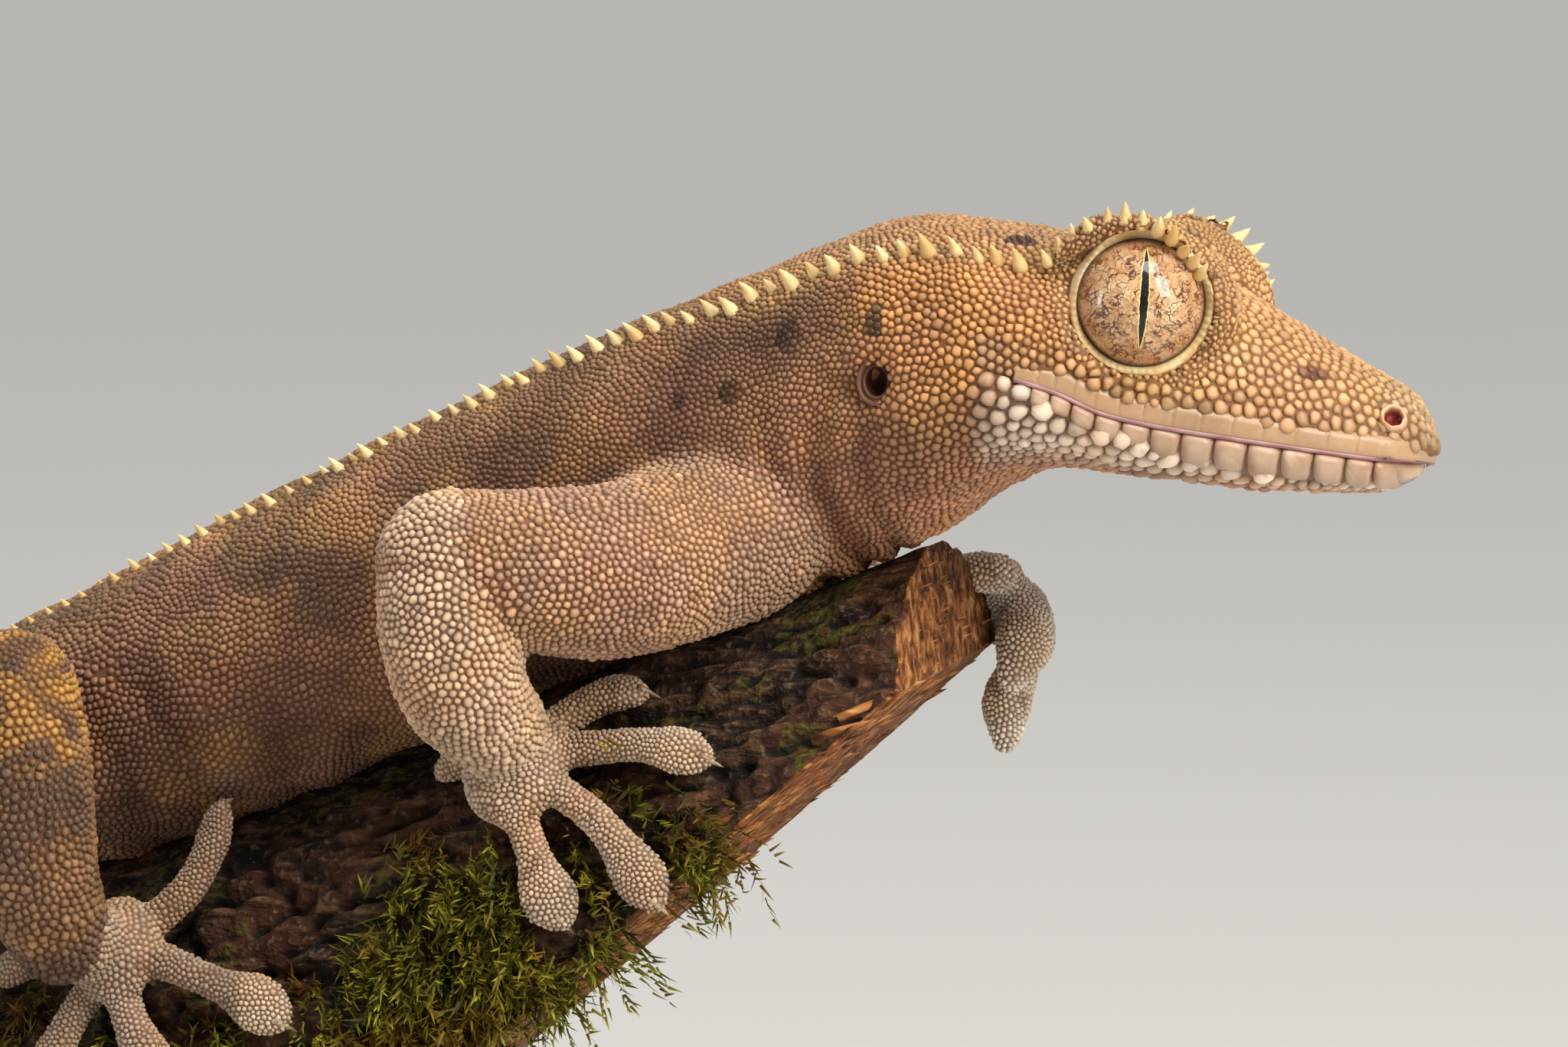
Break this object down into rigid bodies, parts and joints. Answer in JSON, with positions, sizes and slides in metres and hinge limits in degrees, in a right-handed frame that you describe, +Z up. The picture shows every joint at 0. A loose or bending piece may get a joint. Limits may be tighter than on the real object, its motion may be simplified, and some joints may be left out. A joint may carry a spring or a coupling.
{
  "type": "crested gecko",
  "caption": "Life-size crested gecko lying along a short broken branch, head forward, hands and feet gripping the bark, on a plain display stand.",
  "frame": {"origin": "centre of the underside of the stand's base", "axes": "+X towards the snout, +Y towards the animal's left side, +Z up from the surface the stand rests on"},
  "size_m": [0.1528, 0.06, 0.0836],
  "materials": {
    "head_skin": "matt granular skin, yellow-tan with orange-tan temples",
    "body_skin": "matt granular skin, brown-tan",
    "limb_skin": "matt granular skin, cream beads over brown",
    "eye": "wet gloss over a veined brown iris",
    "bark": "rough dark bark with splintered ends and moss",
    "stand": "satin black",
    "rod": "satin steel"
  },
  "bodies": {
    "root": {"head": "head_skin", "lower_jaw": "head_skin", "eye_right": "eye", "eye_left": "eye", "neck": "body_skin", "chest": "body_skin", "belly": "body_skin", "tail_base": "body_skin", "tail_middle": "body_skin", "tail_tip": "body_skin", "upper_arm_right": "limb_skin", "forearm_right": "limb_skin", "hand_right": "limb_skin", "upper_arm_left": "limb_skin", "forearm_left": "limb_skin", "hand_left": "limb_skin", "thigh_right": "limb_skin", "shank_right": "limb_skin", "foot_right": "limb_skin", "thigh_left": "limb_skin", "shank_left": "limb_skin", "foot_left": "limb_skin", "perch_branch": "bark", "stand_base": "stand", "stand_rod_front": "rod", "stand_rod_rear": "rod"}
  },
  "joints": []
}
